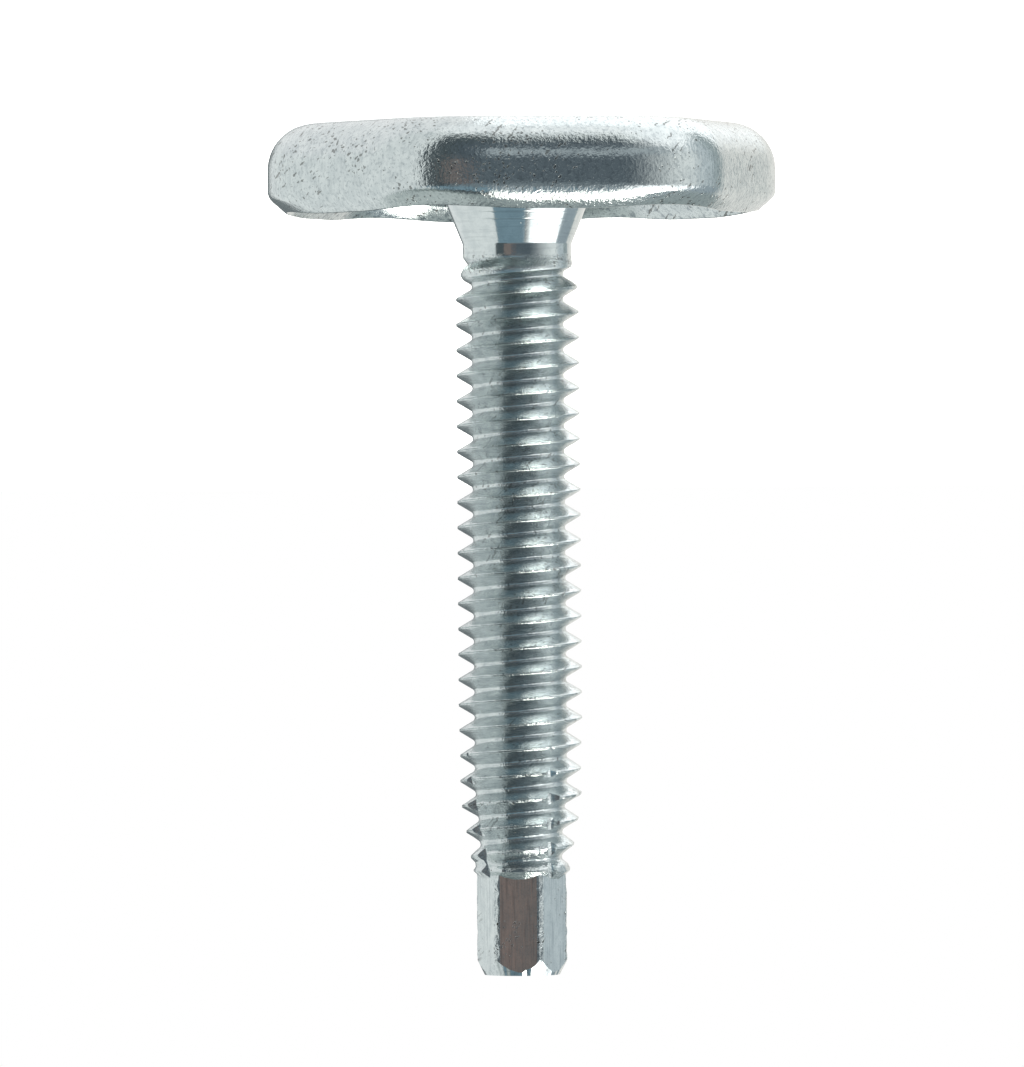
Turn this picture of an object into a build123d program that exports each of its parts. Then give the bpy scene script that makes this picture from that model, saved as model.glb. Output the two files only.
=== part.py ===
from build123d import *
import math
import os

# Leveling leg: a threaded steel stud riveted to a stamped hexagonal steel foot.
# Millimetres, +Z up. The leg stands on its foot: the sole's centre is the origin
# and the stud's axis is +Z. Angles are in degrees, anticlockwise from +X.

# Foot: sheet steel drawn into a shallow hexagonal cup, open upwards.
foot_sides = 6
foot_across_flats = 23.95
foot_corner_radius = 6.5
foot_corner_angle = -8.3
foot_height = 4.6
sheet = 1.2
sole_edge_radius = 2.3
curl_radius = 1.6
curl_angle = 60.0
corner_dip = 0.2
corner_dip_width = 6.4

# Rivet: the stud's lower end, spread into a countersink in the sole.
rivet_shank_radius = 2.5
rivet_head_radius = 3.3
rivet_head_height = 0.55
rivet_recess = 0.05

# Neck: a seat on the cup's floor, a cone and the plain blank above it.
seat_radius = 4.55
seat_height = 0.3
blank_radius = 2.725
cone_top = 6.05
neck_top = 6.8

# Thread: 1/4-20 UNC, rolled, right-handed.
pitch = 1.27
crest_radius = 3.1
root_radius = 2.35
crest_flat = 0.11
flank_angle = 30.0
thread_phase = 8.81
run_in = 1.6
groove_fade_height = 0.8
thread_taper_start = 34.1
thread_end = 37.35
thread_end_radius = 2.43

# Thread-cutting notches across the last turns.
notch_count = 4
notch_angle = 333.0
notch_start = 30.8
notch_end_depth = 1.0
notch_lean = -15.0
notch_half_angle = 38.0
notch_bottom = 0.18

# Hexagonal drive end, for a 5/32 in wrench.
drive_sides = 6
drive_across_flats = 3.97
drive_corner_radius = 2.235
drive_face_angle = 35.0
drive_shoulder = 0.65
tip_end = 42.65
tip_chamfer = 0.72
tip_radius = 1.9

cut_margin = 0.5
groove_overshoot = 0.05
fade_overshoot = 0.12


def polar(radius, angle):
    """Return the point at a radius and an angle in the XY plane."""
    turn = math.radians(angle)
    return (radius * math.cos(turn), radius * math.sin(turn))


def turned(points):
    """Revolve a closed profile of (radius, height) points about the stud's axis."""
    return revolve(Plane.XZ * Polygon(*points, align=None), Axis.Z, 360)


# ---------------------------------------------------------------- foot

foot_step = 360 / foot_sides


def rounded_hexagon(inset):
    """Return the foot's plan, drawn in from its outer wall, with a flat facing +X."""
    apothem = foot_across_flats / 2 - inset
    plan = RegularPolygon(apothem, foot_sides, major_radius=False, rotation=foot_step / 2)
    return fillet(plan.vertices(), foot_corner_radius - inset)


def wall_path():
    """Return the foot's outer line at the sole, from the middle of the +X flat."""
    apothem = foot_across_flats / 2
    to_centre = (apothem - foot_corner_radius) / math.cos(math.radians(foot_step / 2))
    edges = []
    last = Vector(apothem, 0)
    for k in range(foot_sides):
        flats = (foot_step * k, foot_step * (k + 1))
        corner = sum(flats) / 2
        centre = Vector(*polar(to_centre, corner))
        stops = [centre + Vector(*polar(foot_corner_radius, a)) for a in (flats[0], corner, flats[1])]
        edges += [Line(last, stops[0]), ThreePointArc(*stops)]
        last = stops[2]
    edges.append(Line(last, (apothem, 0)))
    return Wire(edges)


def wall_section():
    """Return the wall's section: sole rounding, straight wall and inward curl."""
    outer = foot_across_flats / 2
    turn = math.radians(curl_angle)
    curl_start = foot_height - curl_radius * math.sin(turn)
    inner_curl = curl_radius - sheet

    def bend(centre_inset, centre_height, radius, angle):
        across = outer - centre_inset + radius * math.cos(math.radians(angle))
        return (across, centre_height + radius * math.sin(math.radians(angle)))

    def arc(centre_inset, centre_height, radius, first, last):
        middle = (first + last) / 2
        ends = [bend(centre_inset, centre_height, radius, a) for a in (first, middle, last)]
        return ThreePointArc(*ends)

    sole_outer = arc(sole_edge_radius, sole_edge_radius, sole_edge_radius, 270, 360)
    sole_inner = arc(sole_edge_radius, sole_edge_radius, sole_edge_radius - sheet, 270, 360)
    curl_outer = arc(curl_radius, curl_start, curl_radius, 0, curl_angle)
    curl_inner = arc(curl_radius, curl_start, inner_curl, 0, curl_angle)
    edges = [
        sole_outer,
        Line(sole_outer @ 1, curl_outer @ 0),
        curl_outer,
        Line(curl_outer @ 1, curl_inner @ 1),
        curl_inner,
        Line(curl_inner @ 0, sole_inner @ 1),
        sole_inner,
        Line(sole_inner @ 0, sole_outer @ 0),
    ]
    return Plane.XZ * make_face(Curve() + edges)


def make_foot():
    """Return the stamped foot with its rivet hole."""
    wall = sweep(wall_section(), path=wall_path())
    floor = extrude(rounded_hexagon(sole_edge_radius), sheet)
    foot = wall + floor
    half = corner_dip_width / 2
    dip_radius = (half**2 + corner_dip**2) / (2 * corner_dip)
    dip_height = foot_height - corner_dip + dip_radius
    dip = Cylinder(dip_radius, foot_across_flats, align=(Align.CENTER, Align.CENTER, Align.MIN))
    for k in range(foot_sides):
        corner = foot_step * (k + 0.5)
        foot -= Rot(0, 0, corner) * Pos(0, 0, dip_height) * Rot(0, 90, 0) * dip
    hole = turned([
        (0, -cut_margin),
        (rivet_head_radius, -cut_margin),
        (rivet_head_radius, rivet_recess),
        (rivet_shank_radius, rivet_recess + rivet_head_height),
        (rivet_shank_radius, sheet + cut_margin),
        (0, sheet + cut_margin),
    ])
    foot -= hole
    return Rot(0, 0, foot_corner_angle - foot_step / 2) * foot


# ---------------------------------------------------------------- stud

def stud_blank():
    """Return the stud before its thread is rolled, up to the drive end."""
    return turned([
        (0, rivet_recess),
        (rivet_head_radius, rivet_recess),
        (rivet_shank_radius, rivet_recess + rivet_head_height),
        (rivet_shank_radius, sheet),
        (seat_radius, sheet),
        (seat_radius, sheet + seat_height),
        (blank_radius, cone_top),
        (blank_radius, neck_top),
        (crest_radius, neck_top + run_in),
        (crest_radius, thread_taper_start),
        (thread_end_radius, thread_end),
        (drive_across_flats / 2, thread_end + drive_shoulder),
        (0, thread_end + drive_shoulder),
    ])


def groove_section(place):
    """Return the V of one thread groove on a radial plane through its root."""
    slope = math.tan(math.radians(flank_angle))
    depth = crest_radius - root_radius
    over = depth + groove_overshoot
    root_half = (pitch - crest_flat) / 2 - depth * slope
    corners = [
        (0, -root_half),
        (over, -root_half - over * slope),
        (over, root_half + over * slope),
        (0, root_half),
    ]
    return place * Polygon(*corners, align=None)


def groove_turn(start):
    """Return one turn of the groove, rising from +X at the given height."""
    path = Helix(pitch, pitch, root_radius, center=(0, 0, start))
    place = Plane(origin=(root_radius, 0, start), x_dir=(1, 0, 0), z_dir=(0, -1, 0))
    return sweep(groove_section(place), path=path, is_frenet=True)


def groove_fade(start):
    """Return the groove's shallow end, climbing out of the neck below the given height."""
    spread = math.degrees(math.atan2(blank_radius - root_radius + fade_overshoot, groove_fade_height))
    slant = pitch / math.cos(math.radians(spread))
    down = Helix(slant, groove_fade_height, root_radius, direction=(0, 0, -1), cone_angle=spread)
    path = Pos(0, 0, start) * Rot(0, 0, 180) * down
    place = Plane(origin=(root_radius, 0, start), x_dir=(1, 0, 0), z_dir=(0, 1, 0))
    return sweep(groove_section(place), path=path, is_frenet=True)


def roll_thread(blank):
    """Cut the thread into the blank turn by turn and turn it to its phase."""
    start = neck_top + groove_fade_height
    turns = math.ceil((thread_end + pitch / 2 - start) / pitch)
    for k in range(turns):
        blank -= groove_turn(start + k * pitch)
    blank -= groove_fade(start)
    first_root = thread_phase - pitch / 2
    return Rot(0, 0, 360 * (start - first_root) / pitch) * blank


def thread_notch(angle):
    """Return one slanted V cutter across the last turns of the thread."""
    length = thread_end - notch_start
    low = Vector(*polar(crest_radius, angle), notch_start)
    high = Vector(*polar(crest_radius - notch_end_depth, angle + notch_lean), thread_end)
    along = (high - low).normalized()
    reach = (high - low).length + 2 * cut_margin
    outward = Vector(*polar(1, angle + notch_lean / 2), 0)
    place = Plane(origin=low - along * cut_margin, x_dir=outward, z_dir=along)
    top = notch_end_depth + 2 * cut_margin
    spread = notch_bottom / 2 + top * math.tan(math.radians(notch_half_angle))
    section = Polygon(
        (0, -notch_bottom / 2), (top, -spread), (top, spread), (0, notch_bottom / 2), align=None
    )
    return extrude(place * section, reach)


def drive_end():
    """Return the hexagonal end with its chamfered tip."""
    round_bar = turned([
        (0, thread_end),
        (drive_corner_radius, thread_end),
        (drive_corner_radius, tip_end - tip_chamfer),
        (tip_radius, tip_end),
        (0, tip_end),
    ])
    first_corner = drive_face_angle + 180 / drive_sides
    flats = RegularPolygon(drive_across_flats / 2, drive_sides, major_radius=False, rotation=first_corner)
    prism = extrude(Pos(0, 0, thread_end) * flats, tip_end - thread_end)
    return round_bar & prism


def make_stud():
    """Return the threaded stud: rivet, neck, rolled thread, notches and drive end."""
    stud = roll_thread(stud_blank())
    for k in range(notch_count):
        stud -= thread_notch(notch_angle + 360 / notch_count * k)
    return stud + drive_end()


os.makedirs("parts", exist_ok=True)
export_step(make_foot(), "parts/foot.step")
export_step(make_stud(), "parts/stud.step")
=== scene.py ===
import math

import bmesh
import bpy
from mathutils import Matrix, Vector, noise


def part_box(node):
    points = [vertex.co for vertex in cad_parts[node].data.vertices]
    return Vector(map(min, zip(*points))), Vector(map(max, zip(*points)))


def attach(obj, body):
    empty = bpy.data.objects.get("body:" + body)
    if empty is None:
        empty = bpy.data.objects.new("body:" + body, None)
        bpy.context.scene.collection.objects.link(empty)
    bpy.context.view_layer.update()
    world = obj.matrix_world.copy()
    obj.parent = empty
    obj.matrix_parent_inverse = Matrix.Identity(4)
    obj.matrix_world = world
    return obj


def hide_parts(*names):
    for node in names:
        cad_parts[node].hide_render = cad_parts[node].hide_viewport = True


bl_info = {
    "name": "Leveling Leg",
    "version": (1, 0, 0),
    "blender": (4, 5, 0),
    "location": "View3D > Sidebar > Leveling Leg",
    "description": "Dresses a leveling leg: pressed zinc plated foot and rolled, notched stud",
    "category": "Add Mesh",
}

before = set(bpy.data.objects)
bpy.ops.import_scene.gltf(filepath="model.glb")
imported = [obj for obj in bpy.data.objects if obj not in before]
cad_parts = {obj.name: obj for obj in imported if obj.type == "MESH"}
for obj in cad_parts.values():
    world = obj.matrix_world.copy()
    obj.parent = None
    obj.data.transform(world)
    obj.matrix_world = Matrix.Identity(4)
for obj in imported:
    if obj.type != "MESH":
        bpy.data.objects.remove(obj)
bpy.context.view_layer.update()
FOOT_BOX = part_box("foot")

MM = 0.001
SIDES = 6
SIDE_TURN = 2 * math.pi / SIDES


# ---------------------------------------------------------------- sizes and colours

def length(name, description, default):
    """A size in metres that shows in the sidebar."""
    return bpy.props.FloatProperty(
        name=name, description=description, default=default * MM, unit="LENGTH", precision=5
    )


def turn(name, description, default):
    """An angle that is given in degrees."""
    return bpy.props.FloatProperty(
        name=name, description=description, default=math.radians(default), subtype="ANGLE"
    )


def count(name, description, default):
    """A whole number of copies or steps."""
    return bpy.props.IntProperty(name=name, description=description, default=default, min=1)


def tone(name, description, default):
    """A colour given as sRGB hex and kept linear."""
    return bpy.props.FloatVectorProperty(
        name=name, description=description, default=linear(default)[:3], subtype="COLOR", size=3
    )


def linear(code):
    """Turn an sRGB hex code into a linear colour with alpha."""
    channels = [int(code[i:i + 2], 16) / 255 for i in (0, 2, 4)]
    bent = [c / 12.92 if c <= 0.04045 else ((c + 0.055) / 1.055) ** 2.4 for c in channels]
    return (*bent, 1.0)


class LegFootSizes(bpy.types.PropertyGroup):
    """Sizes of the pressed foot."""

    across_flats: length("Across flats", "Width over two opposite sides", 24.0)
    corner_radius: length("Corner radius", "Radius of the plan's corners", 6.8)
    corner_angle: turn("Corner angle", "Direction of one corner from +X", -8.3)
    sheet: length("Sheet", "Thickness of the sheet", 1.2)
    sole_edge: length("Sole edge", "Outer radius between sole and wall", 2.3)
    flat_curl_start: length("Curl start on a side", "Height where the rim starts to turn in", 3.25)
    corner_curl_start: length("Curl start at a corner", "The same at a corner", 3.35)
    flat_curl: turn("Curl on a side", "How far the rim turns in", 46.0)
    corner_curl: turn("Curl at a corner", "The same at a corner", 49.0)
    flat_bend: length("Bend on a side", "Outer radius where the rim turns in", 1.5)
    corner_bend: length("Bend at a corner", "The same at a corner", 0.6)
    corner_dip: length("Corner dip", "How far the rim dips at a corner", 0.2)
    edge_round: length("Edge rounding", "Radius on the cut edge of the rim", 0.13)
    seat_radius: length("Seat radius", "Inner edge of the cup's floor under the stud's seat", 2.5)
    rivet_radius: length("Rivet radius", "Widest part of the countersunk rivet hole", 3.3)
    off_centre: length("Off centre", "How far the pressed wall stands off the stud, along +X", -0.27)
    rivet_recess: length("Rivet recess", "Depth of the rivet's end below the sole", 0.05)
    columns: count("Columns", "Steps round the foot", 360)


class LegStudSizes(bpy.types.PropertyGroup):
    """Sizes of the threaded stud."""

    pitch: length("Pitch", "Height of one turn of thread", 1.27)
    crest_radius: length("Crest radius", "Outer radius of the thread", 3.1)
    root_radius: length("Root radius", "Inner radius of the thread", 2.3)
    crest_round: length("Crest rounding", "Radius of the rolled crest", 0.085)
    root_round: length("Root rounding", "Radius of the rolled root", 0.2)
    crest_seam: length("Crest seam", "Depth of the fold left along the crest", 0.03)
    first_crest: length("First crest", "Height of the first full crest on +X", 8.81)
    neck_radius: length("Neck radius", "Radius of the plain neck", 2.725)
    neck_cut: length("Neck cut", "Height where the plain neck meets the thread", 6.3)
    shoulder: length("Shoulder", "Height where the thread stops", 37.45)
    notch_start: length("Notch start", "Height where the notches just touch the crests", 30.8)
    notch_end: length("Notch end", "Height where the notches stop", 37.35)
    notch_depth: length("Notch depth", "Depth of the notches at their end", 1.0)
    notch_bottom: length("Notch bottom", "Width of the notches' flat bottom", 0.2)
    notch_flank: turn("Notch flank", "Half the angle of the notch's V", 38.0)
    notch_angle: turn("Notch angle", "Direction of the first notch from +X", 333.0)
    notch_lean: turn("Notch lean", "Turn of a notch along its length", -15.0)
    notches: count("Notches", "Number of notches", 4)
    drive_flats: length("Drive flats", "Width over flats of the drive end", 3.97)
    drive_corner: length("Drive corner", "Radius over the drive end's corners", 2.238)
    drive_angle: turn("Drive angle", "Direction of one face of the drive end", 35.0)
    drive_bulge: length("Drive bulge", "How far each face stands out in its middle", 0.01)
    tip: length("Tip", "Height of the drive end's tip", 42.65)
    tip_chamfer: length("Tip chamfer", "Height of the chamfer at the tip", 0.72)
    tip_radius: length("Tip radius", "Radius of the tip's flat", 1.9)
    columns: count("Columns", "Steps round the thread", 120)


class LegLooks(bpy.types.PropertyGroup):
    """Colours of the plating and of the stage."""

    zinc: tone("Zinc", "Bright zinc plate", "D2D9D9")
    zinc_dull: tone("Dull zinc", "Zinc plate where it is handled", "C6CECF")
    zinc_drawn: tone("Drawn zinc", "Zinc plate along the fine lines left by working", "9AA3A7")
    grime: tone("Grime", "Dirt in pits and scratches", "4A4A47")
    floor: tone("Floor", "Pale studio floor", "F4F4F3")


# ---------------------------------------------------------------- modelling helpers

def only(obj):
    """Make one object the only selected and active one."""
    bpy.ops.object.select_all(action="DESELECT")
    obj.select_set(True)
    bpy.context.view_layer.objects.active = obj


def named(name):
    """Name the newly added object and its mesh."""
    obj = bpy.context.active_object
    obj.name = name
    obj.data.name = name
    return obj


def edit(obj):
    """Open one object in edit mode and return its editable mesh."""
    only(obj)
    bpy.ops.object.mode_set(mode="EDIT")
    return bmesh.from_edit_mesh(obj.data)


def close_edit():
    """Go back to object mode."""
    bpy.ops.object.mode_set(mode="OBJECT")


def move_each(obj, rule):
    """Move every vertex of a mesh to where a rule puts it."""
    for vertex in obj.data.vertices:
        vertex.co = rule(vertex.co)
    obj.data.update()


def apply(obj, kind, **settings):
    """Add a modifier with its settings and apply it."""
    only(obj)
    modifier = obj.modifiers.new(kind.title(), kind)
    for name, value in settings.items():
        setattr(modifier, name, value)
    bpy.ops.object.modifier_apply(modifier=modifier.name)


def combine(obj, operation, tool):
    """Join, cut or trim a closed mesh with another one, which is used up."""
    apply(obj, "BOOLEAN", operation=operation, object=tool, solver="MANIFOLD")
    bpy.data.objects.remove(tool)


def tidy(obj):
    """Merge doubles, then point every face outwards."""
    edit(obj)
    bpy.ops.mesh.select_all(action="SELECT")
    bpy.ops.mesh.remove_doubles(threshold=0.0005 * MM)
    bpy.ops.mesh.normals_make_consistent(inside=False)
    close_edit()


def weld(obj):
    """Merge what the booleans left closer than half a micrometre and drop the fins that this leaves."""
    edit(obj)
    bpy.ops.mesh.select_all(action="SELECT")
    bpy.ops.mesh.remove_doubles(threshold=0.0005 * MM)
    bpy.ops.mesh.dissolve_degenerate(threshold=0.0005 * MM)
    mesh = bmesh.from_edit_mesh(obj.data)
    fins = [face for face in mesh.faces if any(len(line.link_faces) == 1 for line in face.edges)]
    bmesh.ops.delete(mesh, geom=fins, context="FACES")
    bmesh.update_edit_mesh(obj.data)
    close_edit()


def smooth(obj, angle):
    """Shade smooth, with an edge wherever two faces meet at more than the angle."""
    only(obj)
    bpy.ops.object.shade_smooth_by_angle(angle=math.radians(angle))


def crease(obj, low, angle):
    """Keep the edges above a height crisp wherever two faces meet at more than the angle."""
    mesh = edit(obj)
    for line in mesh.edges:
        if min(v.co.z for v in line.verts) > low and line.calc_face_angle(0) > math.radians(angle):
            line.smooth = False
    bmesh.update_edit_mesh(obj.data)
    close_edit()


def between(points, place):
    """Read an outline of (place, value) points, with straight runs between them."""
    if place <= points[0][0]:
        return points[0][1]
    for (low, first), (high, last) in zip(points, points[1:]):
        if place <= high:
            return first + (last - first) * (place - low) / (high - low)
    return points[-1][1]


def ease(value, low, high):
    """Rise smoothly from 0 at low to 1 at high."""
    share = min(max((value - low) / (high - low), 0.0), 1.0)
    return share * share * (3 - 2 * share)


def polar(radius, angle, height):
    """A point at a radius, an angle and a height."""
    return Vector((radius * math.cos(angle), radius * math.sin(angle), height))


def wobble(place, grain, seed):
    """Smooth noise from -1 to 1 with a grain in metres."""
    return noise.noise(Vector(place) / grain + Vector((seed, 0.37 * seed, -seed)))


def uneven(skin, place, seed, share=1):
    """A skin's share of unevenness at a place; a skin is (depth, grain) in millimetres."""
    depth, grain = skin
    return share * depth * MM * wobble(place, grain * MM, seed)


# ---------------------------------------------------------------- foot

CORNER_BLEND = (math.radians(7), math.radians(29))  # off a side's middle, from side to corner
SHIFT_BAND = (4.6 * MM, 9 * MM)  # radii between which the floor gives way to the wall's shift
CUP_FLOOR = 2.5 * MM  # faces below this that look up are the cup's floor

# Unevenness of the pressing as (depth, grain) in millimetres, read on a ring near the wall.
WALL_RING = 12 * MM
DENTED_WALL = (0.012, 2.6)
WAVY_RIM, RIM_BAND = (0.03, 3.5), (2 * MM, 4 * MM)


def off_middle(angle):
    """Angle from the middle of the nearest side."""
    return abs((angle + SIDE_TURN / 2) % SIDE_TURN - SIDE_TURN / 2)


def plan_radius(angle, apothem, corner):
    """Distance from the axis to the outline of a rounded hexagon with a side's middle at 0."""
    off_side = off_middle(angle)
    flat_end = math.atan((apothem - corner) * math.tan(SIDE_TURN / 2) / apothem)
    if off_side < flat_end:
        return apothem / math.cos(off_side)
    reach = (apothem - corner) / math.cos(SIDE_TURN / 2)
    slant = SIDE_TURN / 2 - off_side
    return reach * math.cos(slant) + math.sqrt(corner**2 - (reach * math.sin(slant)) ** 2)


def sweep_angles(first, last, steps):
    """Angles in radians from the first to the last, both included."""
    return [first + (last - first) * k / steps for k in range(steps + 1)]


def wall_section(sizes, cornerness):
    """Section of the wall as (inset, height) points, from the sole round the lip to the floor."""
    sole, sheet, edge = sizes.sole_edge, sizes.sheet, sizes.edge_round

    def mix(on_side, at_corner):
        return on_side + cornerness * (at_corner - on_side)

    start = mix(sizes.flat_curl_start, sizes.corner_curl_start)
    curl = mix(sizes.flat_curl, sizes.corner_curl)
    radius = mix(sizes.flat_bend, sizes.corner_bend)
    height = FOOT_BOX[1].z - cornerness * sizes.corner_dip

    def bend(inset, level, arc, angle):
        return (inset - arc * math.cos(angle), level + arc * math.sin(angle))

    def lip(centre, angle):
        along, across = edge * math.sin(angle), edge * math.cos(angle)
        inset = centre[0] + along * math.sin(curl) - across * math.cos(curl)
        return (inset, centre[1] + along * math.cos(curl) + across * math.sin(curl))

    points = [bend(sole, sole, sole, a) for a in sweep_angles(-math.pi / 2, 0, 14)]
    points += [(0, sole + (start - sole) * k / 4) for k in (1, 2, 3)]
    points += [bend(radius, start, radius, a) for a in sweep_angles(0, curl, 12)]
    inset, level = points[-1]
    run = (height - edge - level + edge * math.sin(curl)) / math.cos(curl)
    outer = (
        inset + run * math.sin(curl) + edge * math.cos(curl),
        level + run * math.cos(curl) - edge * math.sin(curl),
    )
    through = sheet - 2 * edge
    inner = (outer[0] + through * math.cos(curl), outer[1] - through * math.sin(curl))
    points += [lip(outer, a) for a in sweep_angles(0, math.pi / 2, 4)]
    points += [lip(inner, a) for a in sweep_angles(math.pi / 2, math.pi, 4)]
    fold = max(radius - sheet, 0.1 * MM)
    corner = start + (radius - sheet - fold) * math.tan(curl / 2)
    points += [bend(sheet + fold, corner, fold, a) for a in sweep_angles(curl, 0, 6)]
    fillet = sole - sheet
    points += [bend(sole, sole, fillet, a) for a in sweep_angles(0, -math.pi / 2, 4)]
    return points


def foot_column(sizes, angle):
    """One column of the foot, as (radius, height) points from the rivet hole round to it again."""
    cornerness = ease(off_middle(angle), *CORNER_BLEND)
    apothem = sizes.across_flats / 2
    around = polar(WALL_RING, angle, 0)
    outline = []
    for inset, height in wall_section(sizes, cornerness):
        dent = uneven(DENTED_WALL, around + Vector((0, 0, height)), 3)
        rise = uneven(WAVY_RIM, around, 11, ease(height, *RIM_BAND))
        radius = plan_radius(angle, apothem - inset, max(sizes.corner_radius - inset, 0.1 * MM))
        outline.append((radius - dent * ease(height, 0, 0.5 * MM), height + rise))
    first, last = outline[0], outline[-1]
    hole, shank = sizes.rivet_radius, sizes.seat_radius
    under = [(hole + (first[0] - hole) * k / 4, 0) for k in range(4)]
    inside = [(last[0] + (shank - last[0]) * k / 5, last[1]) for k in range(1, 6)]
    sink = [(shank, sizes.sheet / 2), (hole, sizes.rivet_recess), (hole, 0)]
    return under + outline + inside + sink


def press_foot(sizes):
    """Model the foot: a ring extruded ring by ring along the section, and closed on itself."""
    step = 2 * math.pi / sizes.columns
    columns = [foot_column(sizes, k * step) for k in range(sizes.columns)]
    offset = sizes.corner_angle - SIDE_TURN / 2
    bpy.ops.object.select_all(action="DESELECT")
    bpy.ops.mesh.primitive_circle_add(vertices=sizes.columns, radius=sizes.rivet_radius)
    foot = named("pressed_foot")
    mesh = edit(foot)
    for ring in range(1, len(columns[0])):
        bpy.ops.mesh.extrude_region_move(TRANSFORM_OT_translate={"value": (0, 0, 0)})
        mesh = bmesh.from_edit_mesh(foot.data)
        for vertex in [v for v in mesh.verts if v.select]:
            column = round(math.atan2(vertex.co.y, vertex.co.x) / step) % sizes.columns
            vertex.co = polar(columns[column][ring][0], column * step, columns[column][ring][1])
        bmesh.update_edit_mesh(foot.data)
    close_edit()
    tidy(foot)
    foot.data.transform(Matrix.Rotation(offset, 4, "Z"))
    move_each(foot, lambda co: co + Vector(
        (sizes.off_centre * ease(co.xy.length, *SHIFT_BAND), 0, 0)
    ))
    smooth(foot, 40)
    return foot


# ---------------------------------------------------------------- stud

CONE_TOP = 6.05 * MM
CONE_ANGLE = math.radians(22)
CONE_SUPPORT = 0.04 * MM  # rings beside the cone's upper edge keep its shading crisp
SEAT_HEIGHT = 0.3 * MM
TURNED_LINES = (4.86 * MM, 4.5 * MM)
LINE_WIDTH, LINE_DEPTH = 0.02 * MM, 0.006 * MM

# (height, radius) in millimetres: how the crests and roots rise out of the neck, and how they
# fall towards the drive end over the last turns.
CRESTS_FROM, ROOTS_FROM = 6.7, 6.72
FIRST_CRESTS = ((7.15, 2.78), (7.7, 2.86), (8.5, 3.12))
FIRST_ROOTS = ((7.05, 2.49), (7.5, 2.1))
LAST_TURNS = 29.8
LAST_CRESTS = (
    (LAST_TURNS, 3.1), (31.4, 3.04), (33.7, 3.01), (34.7, 2.9), (35.4, 2.77), (36.2, 2.62),
    (37.25, 2.45), (37.5, 2.4),
)
LAST_ROOTS = (
    (LAST_TURNS, 2.3), (33.2, 2.3), (34.7, 2.14), (35.6, 2.05), (36.9, 2.03), (37.4, 2.4),
)

# Unevenness as (depth, grain) in millimetres, and the heights or radii over which it grows.
ROLLED_COARSE, ROLLED_FINE, ROLLED_BAND = (0.007, 0.9), (0.006, 0.35), (6.9 * MM, 7.6 * MM)
TORN_CRESTS, TORN_BAND, TORN_RADII = (0.07, 0.24), (30.5 * MM, 34 * MM), (2.2 * MM, 2.9 * MM)
LAST_FLANKS, LAST_FLANK_BAND = (0.02, 0.3), (34 * MM, 36 * MM)
WORN_CORNERS, WAVY_CORNERS = (0.05, 0.24), (0.012, 0.9)
SHAKEN_NOTCH = (0.1, 0.26)

# A burr's height, where its ridge stands beside the notch, its width, the grain it is torn to
# and how far below the crest it starts.
BURR_RISE, BURR_OFFSET, BURR_WIDTH = 0.11 * MM, 0.08 * MM, 0.11 * MM
BURR_GRAIN, BURR_REACH = 0.22 * MM, 0.25 * MM

CORE_END = (1.87 * MM, 38.0 * MM)  # the stud's core runs into the drive end up to here

# Where the looks change: neck to thread, thread to drive end, and the corners' worn band.
THREAD_FROM, BAR_FROM = 6.6 * MM, 37.9 * MM
WORN_BAND = 0.06 * MM


def thread_profile(sizes):
    """One turn of the thread's profile as (radius, height) points, from root to root."""
    flank = math.radians(30)
    ball, crown = sizes.root_round, sizes.crest_round
    root_centre = sizes.root_radius + ball
    crown_centre = sizes.crest_radius - crown
    rise = [(root_centre - ball * math.cos(a), ball * math.sin(a))
            for a in sweep_angles(0, math.pi / 2 - flank, 3)]
    middle = sizes.pitch / 2
    seam, seam_lip = 0.03 * MM, 0.002 * MM
    crest = [(crown_centre + crown * math.cos(a), middle + crown * math.sin(a))
             for a in (-math.radians(60), -math.radians(35))]
    crest += [(sizes.crest_radius - seam_lip, middle - seam)]
    crest += [(sizes.crest_radius - sizes.crest_seam, middle)]
    fall = [(radius, sizes.pitch - height) for radius, height in reversed(crest[:-1])]
    back = [(radius, sizes.pitch - height) for radius, height in reversed(rise)]
    half = [((rise[-1][0] + crest[0][0]) / 2, (rise[-1][1] + crest[0][1]) / 2)]
    other_half = [(radius, sizes.pitch - height) for radius, height in half]
    return rise + half + crest + fall + other_half + back


def roll_thread(sizes):
    """Wind the profile into a thread with the Screw modifier."""
    profile = thread_profile(sizes)
    first_root = sizes.first_crest - sizes.pitch / 2
    below = math.ceil((first_root - sizes.neck_cut) / sizes.pitch) + 1
    start = first_root - below * sizes.pitch
    turns = math.ceil((sizes.shoulder - start) / sizes.pitch) + 1
    bpy.ops.object.select_all(action="DESELECT")
    bpy.ops.mesh.primitive_plane_add(size=sizes.pitch)
    stud = named("rolled_stud")
    edit(stud)
    bpy.ops.mesh.merge(type="CENTER")
    bpy.ops.transform.translate(value=(profile[0][0], 0, start + profile[0][1]))
    for (radius, height), (further, higher) in zip(profile, profile[1:]):
        step = (further - radius, 0, higher - height)
        bpy.ops.mesh.extrude_vertices_move(TRANSFORM_OT_translate={"value": step})
    close_edit()
    apply(
        stud, "SCREW", angle=2 * math.pi, screw_offset=sizes.pitch, iterations=turns,
        steps=sizes.columns, render_steps=sizes.columns, use_normal_calculate=True,
    )
    return stud


def notch_line(sizes, height):
    """How far along the notches a height lies, and the turn and depth of the first one there."""
    share = (height - sizes.notch_start) / (sizes.notch_end - sizes.notch_start)
    return share, sizes.notch_angle + share * sizes.notch_lean, share * sizes.notch_depth


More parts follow.
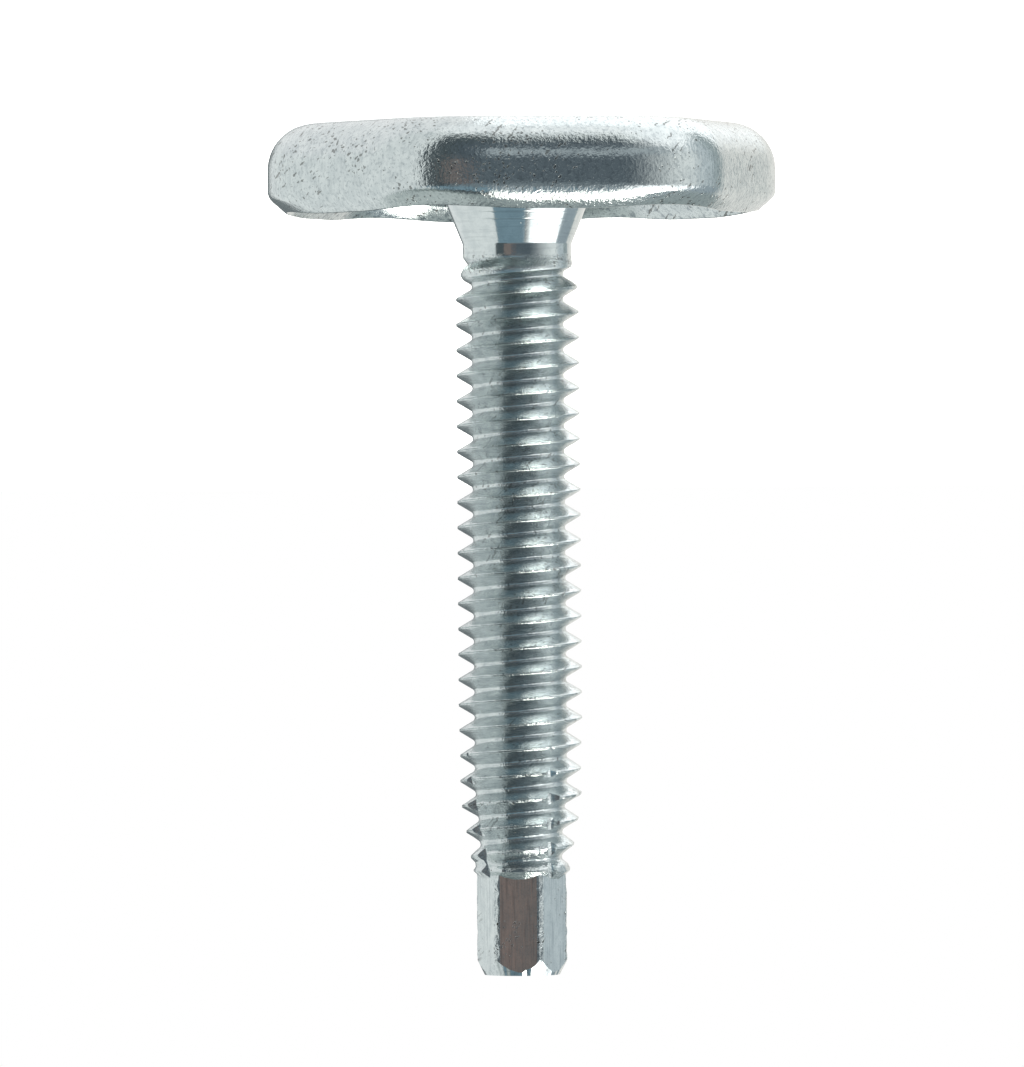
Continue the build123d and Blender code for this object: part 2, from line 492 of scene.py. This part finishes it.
def burr(sizes, angle, height, radius, crest):
    """Metal pushed up beside a notch where it crosses a crest."""
    share, line, depth = notch_line(sizes, height)
    if not 0 < share < 1.02:
        return 0.0
    step = 2 * math.pi / sizes.notches
    aside = (angle - line + step / 2) % step - step / 2
    edge = sizes.notch_bottom / 2 + depth * math.tan(sizes.notch_flank)
    distance = abs(aside) * radius - edge
    ridge = math.exp(-((distance - BURR_OFFSET) / BURR_WIDTH) ** 2)
    ragged = 0.5 + 1.4 * wobble(polar(radius, angle, height), BURR_GRAIN, 23)
    at_crest = ease(radius, crest - BURR_REACH, crest)
    return BURR_RISE * ridge * ragged * at_crest * ease(share, 0, 0.2)


def form_thread(sizes, stud):
    """Fade the groove into the neck, shrink and tear the last turns and raise the burrs."""
    neck = sizes.neck_radius / MM
    first_crests = [(CRESTS_FROM, neck), *FIRST_CRESTS]
    first_roots = [(ROOTS_FROM, neck), *FIRST_ROOTS]
    groove = sizes.crest_radius - sizes.root_radius

    def rule(co):
        height, angle = co.z, math.atan2(co.y, co.x)
        radius = math.hypot(co.x, co.y)
        last = height > LAST_TURNS * MM
        crest = between(LAST_CRESTS if last else first_crests, height / MM) * MM
        root = between(LAST_ROOTS if last else first_roots, height / MM) * MM
        if last:
            radius = root + (radius - sizes.root_radius) / groove * (crest - root)
        else:
            radius = min(max(radius, root), crest)
        thread = ease(height, *ROLLED_BAND)
        place = polar(radius, angle, height)
        radius += uneven(ROLLED_COARSE, place, 5, thread)
        radius += uneven(ROLLED_FINE, (place.x, place.y, place.z * 2.2), 17, thread)
        torn = ease(height, *TORN_BAND) * ease(radius, *TORN_RADII)
        radius += uneven(TORN_CRESTS, place, 41, torn)
        radius += uneven(LAST_FLANKS, place, 43, ease(height, *LAST_FLANK_BAND))
        radius += burr(sizes, angle, height, radius, crest)
        return polar(radius, angle, height)

    move_each(stud, rule)
    tidy(stud)


def cut_flat(obj, height, keep_above):
    """Cut a mesh off level at a height and close it there."""
    edit(obj)
    bpy.ops.mesh.select_all(action="SELECT")
    bpy.ops.mesh.bisect(
        plane_co=(0, 0, height), plane_no=(0, 0, 1), threshold=0.0001 * MM,
        clear_inner=keep_above, clear_outer=not keep_above,
    )
    bpy.ops.mesh.select_all(action="DESELECT")
    bpy.ops.mesh.select_non_manifold(extend=False, use_wire=False, use_multi_face=False)
    bpy.ops.mesh.edge_face_add()
    close_edit()


def grow_end(obj, height, outline):
    """Extrude the level end of a mesh along (radius, height) points."""
    mesh = edit(obj)
    bpy.ops.mesh.select_all(action="DESELECT")
    bpy.ops.mesh.select_mode(type="FACE")
    mesh.faces.ensure_lookup_table()
    cap = max(
        (f for f in mesh.faces if abs(f.calc_center_median().z - height) < 0.001 * MM),
        key=lambda f: f.calc_area(),
    )
    cap.select_set(True)
    mesh.faces.active = cap
    bmesh.update_edit_mesh(obj.data)
    radius = max(v.co.xy.length for v in cap.verts)
    for further, level in outline:
        bpy.ops.mesh.extrude_region_move(TRANSFORM_OT_translate={"value": (0, 0, level - height)})
        share = further / radius
        bpy.ops.transform.resize(
            value=(share, share, 1), center_override=(0, 0, level), orient_type="GLOBAL"
        )
        radius, height = further, level
    bpy.ops.mesh.select_mode(type="VERT")
    close_edit()


def neck_outline(foot, sizes):
    """The neck, its cone with two fine turning lines, the seat and the rivet's end."""
    def cone(height):
        return sizes.neck_radius + (CONE_TOP - height) * math.tan(CONE_ANGLE)

    outline = [(sizes.neck_radius, CONE_TOP + CONE_SUPPORT), (sizes.neck_radius, CONE_TOP)]
    outline.append((cone(CONE_TOP - CONE_SUPPORT), CONE_TOP - CONE_SUPPORT))
    for height in TURNED_LINES:
        for widths, dip in ((2.5, 0), (1, 0), (0, LINE_DEPTH), (-1, 0), (-2.5, 0)):
            level = height + widths * LINE_WIDTH
            outline.append((cone(level) - dip, level))
    seat = foot.sheet + SEAT_HEIGHT
    outline.append((cone(seat), seat))
    outline.append((cone(seat), foot.sheet))
    outline.append((foot.seat_radius, foot.sheet))
    outline.append((foot.seat_radius, foot.sheet / 2))
    outline.append((foot.rivet_radius, foot.rivet_recess))
    return outline


def lathe_bar(sizes, low):
    """The round bar that trims the drive end's corners and its chamfered tip."""
    rings, columns, stub = 44, 144, 1 * MM
    bpy.ops.object.select_all(action="DESELECT")
    bpy.ops.mesh.primitive_cylinder_add(vertices=columns, radius=sizes.drive_corner, depth=stub)
    bar = named("round_bar")
    level = sizes.tip - sizes.tip_chamfer
    bpy.ops.object.mode_set(mode="EDIT")
    bpy.ops.mesh.select_all(action="SELECT")
    bpy.ops.transform.translate(value=(0, 0, low - stub / 2))
    close_edit()
    steps = [(sizes.drive_corner, low + (level - low) * k / rings) for k in range(1, rings + 1)]
    grow_end(bar, low, steps + [(sizes.tip_radius, sizes.tip)])

    def rule(co):
        angle, radius = math.atan2(co.y, co.x), co.xy.length
        shift = uneven(WORN_CORNERS, (co.x, co.y, co.z * 0.6), 31)
        shift += uneven(WAVY_CORNERS, co, 37)
        return polar(radius + (shift if radius > 1 * MM else 0), angle, co.z)

    move_each(bar, rule)
    return bar


def drive_end(sizes):
    """The hexagonal end: slightly crowned faces, trimmed by the round bar."""
    low, margin = sizes.notch_end, 0.5 * MM
    faces, columns = SIDES, 72
    bpy.ops.object.select_all(action="DESELECT")
    bpy.ops.mesh.primitive_cylinder_add(
        vertices=columns, radius=sizes.drive_flats / 2, depth=sizes.tip - low + 2 * margin,
        location=(0, 0, (low + sizes.tip) / 2 + margin),
    )
    hexagon = named("drive_end")
    bpy.ops.object.transform_apply(location=True, rotation=True, scale=True)

    def rule(co):
        angle = math.atan2(co.y, co.x)
        off_face = (angle - sizes.drive_angle + math.pi / faces) % (2 * math.pi / faces)
        off_face -= math.pi / faces
        crown = sizes.drive_bulge * (1 - (off_face * faces / math.pi) ** 2)
        return polar((sizes.drive_flats / 2 + crown) / math.cos(off_face), angle, co.z)

    move_each(hexagon, rule)
    combine(hexagon, "INTERSECT", lathe_bar(sizes, low - margin))
    return hexagon


def notch_cutter(sizes):
    """One V-shaped bar that leans across the last turns."""
    margin, cuts = 0.5 * MM, 22
    low = polar(sizes.crest_radius, sizes.notch_angle, sizes.notch_start)
    high = polar(
        sizes.crest_radius - sizes.notch_depth, sizes.notch_angle + sizes.notch_lean, sizes.notch_end
    )
    along = (high - low).normalized()
    outward = polar(1, sizes.notch_angle + sizes.notch_lean / 2, 0)
    side = along.cross(outward).normalized()
    outward = side.cross(along)
    reach = (high - low).length + 2 * margin
    top = sizes.notch_depth + 2 * margin
    bpy.ops.object.select_all(action="DESELECT")
    bpy.ops.mesh.primitive_cube_add(size=1)
    cutter = named("notch_cutter")
    edit(cutter)
    bpy.ops.mesh.select_all(action="SELECT")
    bpy.ops.mesh.subdivide(number_cuts=cuts)
    close_edit()

    def rule(co):
        out, across, up = co.x + 0.5, co.y * 2, co.z + 0.5
        half = sizes.notch_bottom / 2 + out * top * math.tan(sizes.notch_flank)
        place = low - along * margin + outward * out * top + side * across * half + along * up * reach
        shake = uneven(SHAKEN_NOTCH, place, 53)
        return place + side * shake + outward * 0.6 * shake

    move_each(cutter, rule)
    tidy(cutter)
    return cutter


def cut_notches(sizes, stud):
    """Cut each notch with its own copy of the V bar."""
    pattern = notch_cutter(sizes)
    for k in range(sizes.notches):
        cutter = pattern.copy()
        cutter.data = pattern.data.copy()
        bpy.context.collection.objects.link(cutter)
        cutter.data.transform(Matrix.Rotation(2 * math.pi * k / sizes.notches, 4, "Z"))
        combine(stud, "DIFFERENCE", cutter)
    bpy.data.objects.remove(pattern)


def make_stud(foot, sizes):
    """Model the stud: thread, neck, seat, rivet end, notches and drive end in one closed skin."""
    stud = roll_thread(sizes)
    form_thread(sizes, stud)
    cut_flat(stud, sizes.neck_cut, True)
    cut_flat(stud, sizes.shoulder, False)
    grow_end(stud, sizes.neck_cut, neck_outline(foot, sizes))
    grow_end(stud, sizes.shoulder, [CORE_END])
    cut_notches(sizes, stud)
    combine(stud, "UNION", drive_end(sizes))
    weld(stud)
    smooth(stud, 32)
    crease(stud, sizes.shoulder, 20)
    return stud


# ---------------------------------------------------------------- materials

# Real sizes of what handling leaves on the plate: the dull clouds, the ragged outline of marks,
# the pits and the patches they keep to, the scratches and the depth of them all.
CLOUD_GRAIN, RAGGED_GRAIN = 0.6 * MM, 0.2 * MM
PIT_SPACING, PIT_PATCHES = 0.25 * MM, 1.1 * MM
SCRATCH_SPACING = 0.17 * MM
SCRATCHES = (((0.9, 0.4, 0.3), 2.9 * MM), ((-0.5, 1.1, 0.8), 3.7 * MM))  # (tilt, patches)
MARK_DEPTH = 0.01 * MM


def add(tree, kind, values=None, **settings):
    """Add a node, set its properties, and set or link its inputs."""
    made = tree.nodes.new(kind)
    for name, value in settings.items():
        setattr(made, name, value)
    for socket, value in (values or {}).items():
        if isinstance(value, bpy.types.NodeSocket):
            tree.links.new(value, made.inputs[socket])
        else:
            made.inputs[socket].default_value = value
    return made


def new_material(name):
    """An empty node material and its tree."""
    material = bpy.data.materials.new(name)
    material.use_nodes = True
    material.node_tree.nodes.clear()
    return material, material.node_tree


def marks(tree, coords, spacing, size, here):
    """A mask of small spots, one in each cell of the given spacing, where another mask lets them."""
    cells = add(tree, "ShaderNodeTexVoronoi", {"Vector": coords, "Scale": 1 / spacing}).outputs
    spread = add(tree, "ShaderNodeMath", {0: cells["Color"], 1: here}, operation="MULTIPLY").outputs[0]
    reach = add(tree, "ShaderNodeMapRange", {
        "Value": spread, "From Min": 0.2, "From Max": 0.8, "To Min": -0.1, "To Max": size,
    }).outputs[0]
    inside = add(tree, "ShaderNodeMath", {0: reach, 1: cells["Distance"]}, operation="SUBTRACT").outputs[0]
    return add(tree, "ShaderNodeMapRange", {
        "Value": inside, "From Min": 0.0, "From Max": 0.04,
    }, interpolation_type="SMOOTHSTEP").outputs[0]


def fog(tree, coords, grain, detail, low, high):
    """Noise of a grain in metres, spread to a mask from 0 at low to 1 at high."""
    value = add(tree, "ShaderNodeTexNoise", {
        "Vector": coords, "Scale": 1 / grain, "Detail": detail, "Roughness": 0.6,
    }).outputs["Fac"]
    return add(tree, "ShaderNodeMapRange", {
        "Value": value, "From Min": low, "From Max": high,
    }, interpolation_type="SMOOTHSTEP").outputs[0]


def zinc_plate(name, looks, stretch, streak_grain, streak, lines, grit, speckle, worn, gloss):
    """Bright zinc plate on steel: cool white metal, glossy but not a mirror.

    Fine streaks follow the way the steel was worked: stretch draws them out, streak_grain is
    their width, streak their depth and lines how dark they are. The brightener leaves a faint
    grain, grit wide and speckle deep. Handling leaves small dark pits and hairline scratches, as
    dark as worn says. Gloss is the roughness.
    """
    material, tree = new_material(name)
    coords = add(tree, "ShaderNodeTexCoord").outputs["Object"]
    worked = add(tree, "ShaderNodeMapping", {"Vector": coords, "Scale": stretch}).outputs[0]
    cloud = fog(tree, coords, CLOUD_GRAIN, 5.0, 0.34, 0.66)
    streaks = add(tree, "ShaderNodeTexNoise", {
        "Vector": worked, "Scale": 1 / streak_grain, "Detail": 3.0, "Roughness": 0.55,
    }).outputs["Fac"]
    grain = add(tree, "ShaderNodeTexNoise", {
        "Vector": coords, "Scale": 1 / grit, "Detail": 2.0, "Roughness": 0.6,
    }).outputs["Fac"]
    blur = add(tree, "ShaderNodeTexNoise", {
        "Vector": coords, "Scale": 1 / RAGGED_GRAIN,
    }).outputs["Color"]
    ragged = add(tree, "ShaderNodeVectorMath", {
        0: blur, 1: (RAGGED_GRAIN, RAGGED_GRAIN, RAGGED_GRAIN), 2: coords,
    }, operation="MULTIPLY_ADD").outputs[0]
    pit = marks(tree, ragged, PIT_SPACING, 0.34, fog(tree, coords, PIT_PATCHES, 3.0, 0.5, 0.62))
    scratch = None
    for tilt, patches in SCRATCHES:
        slanted = add(tree, "ShaderNodeMapping", {
            "Vector": ragged, "Rotation": tilt, "Scale": (1.0, 1.0, 20.0),
        }, vector_type="TEXTURE").outputs[0]
        here = fog(tree, coords, patches, 1.0, 0.42, 0.6)
        layer = marks(tree, slanted, SCRATCH_SPACING, 0.42, here)
        scratch = layer if scratch is None else add(
            tree, "ShaderNodeMath", {0: scratch, 1: layer}, operation="MAXIMUM"
        ).outputs[0]
    plate = add(tree, "ShaderNodeMix", {
        "Factor": cloud, 6: (*looks.zinc_dull, 1), 7: (*looks.zinc, 1),
    }, data_type="RGBA").outputs[2]
    drawn = add(tree, "ShaderNodeMapRange", {
        "Value": streaks, "From Min": 0.5, "From Max": 0.66, "To Max": lines,
    }, interpolation_type="SMOOTHSTEP").outputs[0]
    plate = add(tree, "ShaderNodeMix", {
        "Factor": drawn, 6: plate, 7: (*looks.zinc_drawn, 1),
    }, data_type="RGBA").outputs[2]
    mottled = add(tree, "ShaderNodeMapRange", {
        "Value": grain, "From Min": 0.5, "From Max": 0.68, "To Max": 0.7 * worn,
    }, interpolation_type="SMOOTHSTEP").outputs[0]
    plate = add(tree, "ShaderNodeMix", {
        "Factor": mottled, 6: plate, 7: (*looks.zinc_drawn, 1),
    }, data_type="RGBA").outputs[2]
    dark = add(tree, "ShaderNodeMath", {0: scratch, 1: 0.8 * worn}, operation="MULTIPLY").outputs[0]
    deep = add(tree, "ShaderNodeMath", {0: pit, 1: worn}, operation="MULTIPLY").outputs[0]
    dark = add(tree, "ShaderNodeMath", {0: deep, 1: dark}, operation="MAXIMUM").outputs[0]
    colour = add(tree, "ShaderNodeMix", {
        "Factor": dark, 6: plate, 7: (*looks.grime, 1),
    }, data_type="RGBA").outputs[2]
    rough = add(tree, "ShaderNodeMapRange", {
        "Value": cloud, "To Min": gloss * 1.35, "To Max": gloss * 0.75,
    }).outputs[0]
    worked_bump = add(tree, "ShaderNodeBump", {
        "Height": streaks, "Strength": 1.0, "Distance": streak,
    }).outputs[0]
    grain_bump = add(tree, "ShaderNodeBump", {
        "Height": grain, "Strength": 1.0, "Distance": speckle, "Normal": worked_bump,
    }).outputs[0]
    dug = add(tree, "ShaderNodeMath", {0: dark, 1: -1.0}, operation="MULTIPLY").outputs[0]
    dug_bump = add(tree, "ShaderNodeBump", {
        "Height": dug, "Strength": 1.0, "Distance": MARK_DEPTH, "Normal": grain_bump,
    }).outputs[0]
    shader = add(tree, "ShaderNodeBsdfPrincipled", {
        "Base Color": colour, "Metallic": 1.0, "Roughness": rough, "Normal": dug_bump,
    })
    add(tree, "ShaderNodeOutputMaterial", {"Surface": shader.outputs[0]})
    return material


def set_stage_floor(looks):
    """Pale floor: it lies white before the camera with the leg's shadow, and metal sees past it."""
    material, tree = new_material("pale_studio_floor")
    path = add(tree, "ShaderNodeLightPath").outputs
    paint = add(tree, "ShaderNodeBsdfDiffuse", {"Color": (*looks.floor, 1)}).outputs[0]
    glow = add(tree, "ShaderNodeEmission", {"Strength": path["Is Camera Ray"]}).outputs[0]
    lit = add(tree, "ShaderNodeAddShader", {0: paint, 1: glow}).outputs[0]
    mirrored = add(tree, "ShaderNodeMath", {
        0: path["Is Glossy Ray"], 1: path["Is Transmission Ray"],
    }, operation="MAXIMUM").outputs[0]
    past = add(tree, "ShaderNodeBsdfTransparent").outputs[0]
    mix = add(tree, "ShaderNodeMixShader", {0: mirrored, 1: lit, 2: past}).outputs[0]
    add(tree, "ShaderNodeOutputMaterial", {"Surface": mix})
    return material


# ---------------------------------------------------------------- stage

STUDIO_WALL = "F9FCFB"

# Cards round the leg: (from, fade, to, fade, low, fade, high, fade, colour, strength). From and
# to are turns from the camera's side in degrees, positive towards +X; low and high are degrees
# above the floor; each edge fades out over the degrees beyond it. A later card covers an earlier.
CARDS = (
    # Bright ground and walls beside and behind the leg, and grey above them.
    (110, 20, 400, 1, -100, 1, -24, 14, "FFFFFF", 1.05),
    (-400, 1, -66, 28, -100, 1, -38, 24, "FFFFFF", 1.5),
    (-400, 1, -134, 2, -30, 14, 34, 10, "FFFDF8", 0.97),
    (-400, 1, -134, 2, -100, 1, -30, 20, "FFFFFF", 1.7),
    (164, 16, 400, 1, 32, 14, 100, 1, "A4AEAE", 1.0),
    (-400, 1, -130, 20, 32, 14, 100, 1, "A4AEAE", 1.0),
    # Pale panels on the -X side, towards the back.
    (-132, 2, -102, 14, -30, 14, 34, 14, "DDE6EA", 0.92),
    (-132, 2, -119, 6, -34, 14, 50, 14, "B4C0C2", 0.9),
    (-128, 3, -101, 8, 16, 8, 60, 14, "A9B5BC", 1.0),
    # White straight below.
    (-400, 1, 400, 1, -100, 7, -78, 8, "FFFFFF", 1.25),
    # The camera's side: dim, lighter low towards -X, and with a blue band above.
    (-26, 3, 45, 3, -60, 18, 90, 5, "606A6E", 0.85),
    (-21, 62, 20, 3, -42, 16, 20, 8, "6A757D", 0.85),
    (-30, 12, 20, 3, 9, 8, 30, 8, "8A959B", 0.85),
    (-60, 20, -8, 5, -30, 5, -19, 5, "B6BEC2", 1.0),
    (-16, 3, 45, 3, 32, 12, 48, 8, "7E96A2", 1.1),
    # Small brownish cards that the drive end's front face mirrors.
    (3, 2, 19, 2, -0.5, 1.5, 5, 1.5, "7E7572", 1.0),
    (10.5, 1, 19, 2, -0.5, 1.5, 5, 1.5, "8E7B75", 1.0),
    (14, 1, 27, 2, -8, 2, 3, 2, "8F8480", 0.9),
    # A soft box on the -X side, and two bright panes above it.
    (-94, 10, -46, 34, 26, 10, 56, 10, "FFFFFF", 1.9),
    (-66, 18, -34, 22, 50, 9, 70, 4, "FFFBF2", 7.4),
    (-98, 10, -60, 16, 54, 8, 70, 4, "FFFBF2", 12.0),
    # The ceiling, its panels towards +X, and a grey wall behind.
    (-400, 1, 400, 1, 76, 5, 100, 5, "A4AEAE", 1.0),
    (78, 20, 150, 14, 55, 12, 100, 1, "CCD4D2", 1.0),
    (46, 3, 78, 20, 50, 12, 100, 1, "98A2A0", 1.0),
    (162, 10, 400, 1, -6, 10, 100, 1, "7A8284", 1.0),
)


def window(tree, value, low, low_fade, high, high_fade):
    """A mask that is 1 between low and high and fades out beyond them."""
    rise = add(tree, "ShaderNodeMapRange", {
        "Value": value, "From Min": low - low_fade, "From Max": low,
    }, interpolation_type="SMOOTHSTEP").outputs[0]
    fall = add(tree, "ShaderNodeMapRange", {
        "Value": value, "From Min": high, "From Max": high + high_fade, "To Min": 1.0, "To Max": 0.0,
    }, interpolation_type="SMOOTHSTEP").outputs[0]
    return add(tree, "ShaderNodeMath", {0: rise, 1: fall}, operation="MULTIPLY").outputs[0]


def light_studio():
    """A pale studio with soft cards: dim on the camera's side, bright to its right and above."""
    world = bpy.data.worlds.new("studio")
    bpy.context.scene.world = world
    world.use_nodes = True
    tree = world.node_tree
    tree.nodes.clear()
    direction = add(tree, "ShaderNodeTexCoord").outputs["Generated"]
    split = add(tree, "ShaderNodeSeparateXYZ", {0: direction}).outputs
    front = add(tree, "ShaderNodeMath", {0: split["Y"], 1: -1.0}, operation="MULTIPLY").outputs[0]
    side = add(tree, "ShaderNodeMath", {0: split["X"], 1: front}, operation="ARCTAN2").outputs[0]
    side = add(tree, "ShaderNodeMath", {0: side}, operation="DEGREES").outputs[0]
    above = add(tree, "ShaderNodeMath", {0: split["Z"]}, operation="ARCSINE").outputs[0]
    above = add(tree, "ShaderNodeMath", {0: above}, operation="DEGREES").outputs[0]
    colour = add(tree, "ShaderNodeRGB").outputs[0]
    colour.default_value = linear(STUDIO_WALL)
    for *edges, code, strength in CARDS:
        across = window(tree, side, *edges[:4])
        up = window(tree, above, *edges[4:])
        mask = add(tree, "ShaderNodeMath", {0: across, 1: up}, operation="MULTIPLY").outputs[0]
        card = [channel * strength for channel in linear(code)[:3]]
        colour = add(tree, "ShaderNodeMix", {
            "Factor": mask, 6: colour, 7: (*card, 1),
        }, data_type="RGBA").outputs[2]
    seen = add(tree, "ShaderNodeLightPath").outputs["Is Camera Ray"]
    colour = add(tree, "ShaderNodeMix", {
        "Factor": seen, 6: colour, 7: (1, 1, 1, 1),
    }, data_type="RGBA").outputs[2]
    back = add(tree, "ShaderNodeBackground", {"Color": colour, "Strength": 1.0})
    add(tree, "ShaderNodeOutputWorld", {"Surface": back.outputs[0]})


def lay_floor(looks):
    """A wide level floor just under the sole."""
    bpy.ops.object.select_all(action="DESELECT")
    bpy.ops.mesh.primitive_plane_add(size=8, location=(0, 0, FOOT_BOX[0].z - 0.02 * MM))
    floor = named("floor")
    bpy.ops.object.transform_apply(location=True, rotation=True, scale=True)
    floor.data.materials.append(set_stage_floor(looks))


def set_camera():
    """A level camera at the stud's mid height, rolled so that the foot is at the top."""
    distance, aside, height = 505 * MM, 0.36 * MM, 20.54 * MM
    view_height = 53.51 * MM
    roll = math.radians(0.41)
    data = bpy.data.cameras.new("camera")
    data.sensor_width = 36
    data.lens = data.sensor_width * distance / view_height
    data.clip_start, data.clip_end = 0.01, 20
    camera = bpy.data.objects.new("camera", data)
    bpy.context.collection.objects.link(camera)
    right = Vector((-math.cos(roll), 0, math.sin(roll)))
    up = Vector((-math.sin(roll), 0, -math.cos(roll)))
    back = Vector((0, -1, 0))
    turned = Matrix((right, up, back)).transposed().to_4x4()
    camera.matrix_world = Matrix.Translation((aside, -distance, height)) @ turned
    bpy.context.scene.camera = camera


# ---------------------------------------------------------------- operators

class LEG_OT_foot(bpy.types.Operator):
    """Model the pressed foot and plate it"""

    bl_idname = "leg.foot"
    bl_label = "Pressed foot"

    def execute(self, context):
        scene = context.scene
        foot = press_foot(scene.leg_foot)
        looks = scene.leg_looks
        foot.data.materials.append(zinc_plate(
            "bright_zinc_on_pressed_steel", looks, stretch=(1, 1, 0.22), streak_grain=0.2 * MM,
            streak=0.004 * MM, lines=0.25, grit=0.17 * MM, speckle=0.02 * MM, worn=0.8, gloss=0.13,
        ))
        # Inside the cup: duller, rougher plate with fully dark streaks, partly real dull plate and partly
        # painted shade that darkens the recess.
        foot.data.materials.append(zinc_plate(
            "dull_zinc_and_painted_shade_inside_the_cup", looks, stretch=(1, 1, 1), streak_grain=0.3 * MM,
            streak=0.006 * MM, lines=1.0, grit=0.1 * MM, speckle=0.006 * MM, worn=0.9, gloss=0.17,
        ))
        # The cup's floor and inner wall take the darker inside plate, with its painted shade.
        outside, inside = range(2)
        for face in foot.data.polygons:
            outward = face.normal.x * face.center.x + face.normal.y * face.center.y
            floor = face.normal.z > 0.5 and face.center.z < CUP_FLOOR
            inward = outward < -0.1 * face.center.xy.length
            face.material_index = inside if floor or inward else outside
        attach(foot, "root")
        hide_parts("foot")
        return {"FINISHED"}


class LEG_OT_stud(bpy.types.Operator):
    """Model the rolled stud with its drive end and plate it"""

    bl_idname = "leg.stud"
    bl_label = "Rolled stud"

    def execute(self, context):
        scene = context.scene
        stud = make_stud(scene.leg_foot, scene.leg_stud)
        looks = scene.leg_looks
        stud.data.materials.clear()
        stud.data.materials.append(zinc_plate(
            "bright_zinc_on_rolled_thread", looks, stretch=(0.35, 0.35, 3.0), streak_grain=0.3 * MM,
            streak=0.0022 * MM, lines=0.35, grit=0.1 * MM, speckle=0.018 * MM, worn=0.5, gloss=0.17,
        ))
        stud.data.materials.append(zinc_plate(
            "bright_zinc_on_drawn_bar", looks, stretch=(1, 1, 0.05), streak_grain=0.12 * MM,
            streak=0.004 * MM, lines=0.5, grit=0.1 * MM, speckle=0.002 * MM, worn=0.35, gloss=0.09,
        ))
        stud.data.materials.append(zinc_plate(
            "bright_zinc_on_turned_neck", looks, stretch=(0.05, 0.05, 1), streak_grain=0.12 * MM,
            streak=0.0008 * MM, lines=0.2, grit=0.1 * MM, speckle=0.001 * MM, worn=0.12, gloss=0.09,
        ))
        stud.data.materials.append(zinc_plate(
            "scuffed_zinc_on_the_corners", looks, stretch=(1, 1, 0.5), streak_grain=0.1 * MM,
            streak=0.012 * MM, lines=1.0, grit=0.1 * MM, speckle=0.03 * MM, worn=1.0, gloss=0.16,
        ))
        thread, drawn_bar, neck, corners = range(4)
        for face in stud.data.polygons:
            corner = face.center.xy.length > scene.leg_stud.drive_corner - WORN_BAND
            if face.center.z > BAR_FROM:
                face.material_index = corners if corner and abs(face.normal.z) < 0.3 else drawn_bar
            else:
                face.material_index = thread if face.center.z > THREAD_FROM else neck
        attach(stud, "root")
        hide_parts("stud")
        return {"FINISHED"}


class LEG_OT_stage(bpy.types.Operator):
    """Lay the floor, light the studio and set the camera"""

    bl_idname = "leg.stage"
    bl_label = "Stage"

    def execute(self, context):
        lay_floor(context.scene.leg_looks)
        light_studio()
        set_camera()
        context.scene.view_settings.view_transform = "Standard"
        return {"FINISHED"}


class LEG_PT_sidebar(bpy.types.Panel):
    """The leg's pieces and their sizes."""

    bl_idname = "LEG_PT_sidebar"
    bl_label = "Leveling Leg"
    bl_space_type = "VIEW_3D"
    bl_region_type = "UI"
    bl_category = "Leveling Leg"

    def draw(self, context):
        for operator in (LEG_OT_foot, LEG_OT_stud, LEG_OT_stage):
            self.layout.operator(operator.bl_idname)
        for group in (context.scene.leg_foot, context.scene.leg_stud, context.scene.leg_looks):
            box = self.layout.box()
            for name in group.__annotations__:
                box.prop(group, name)


CLASSES = (
    LegFootSizes, LegStudSizes, LegLooks, LEG_OT_foot, LEG_OT_stud, LEG_OT_stage, LEG_PT_sidebar,
)


def register():
    """Add the leg's sizes, operators and panel to Blender."""
    for cls in CLASSES:
        bpy.utils.register_class(cls)
    bpy.types.Scene.leg_foot = bpy.props.PointerProperty(type=LegFootSizes)
    bpy.types.Scene.leg_stud = bpy.props.PointerProperty(type=LegStudSizes)
    bpy.types.Scene.leg_looks = bpy.props.PointerProperty(type=LegLooks)


def unregister():
    """Take them out again, in reverse order."""
    del bpy.types.Scene.leg_looks
    del bpy.types.Scene.leg_stud
    del bpy.types.Scene.leg_foot
    for cls in reversed(CLASSES):
        bpy.utils.unregister_class(cls)


def main():
    """Build the dressed leg and its stage."""
    register()
    bpy.ops.leg.foot()
    bpy.ops.leg.stud()
    bpy.ops.leg.stage()


if __name__ == "__main__":
    main()
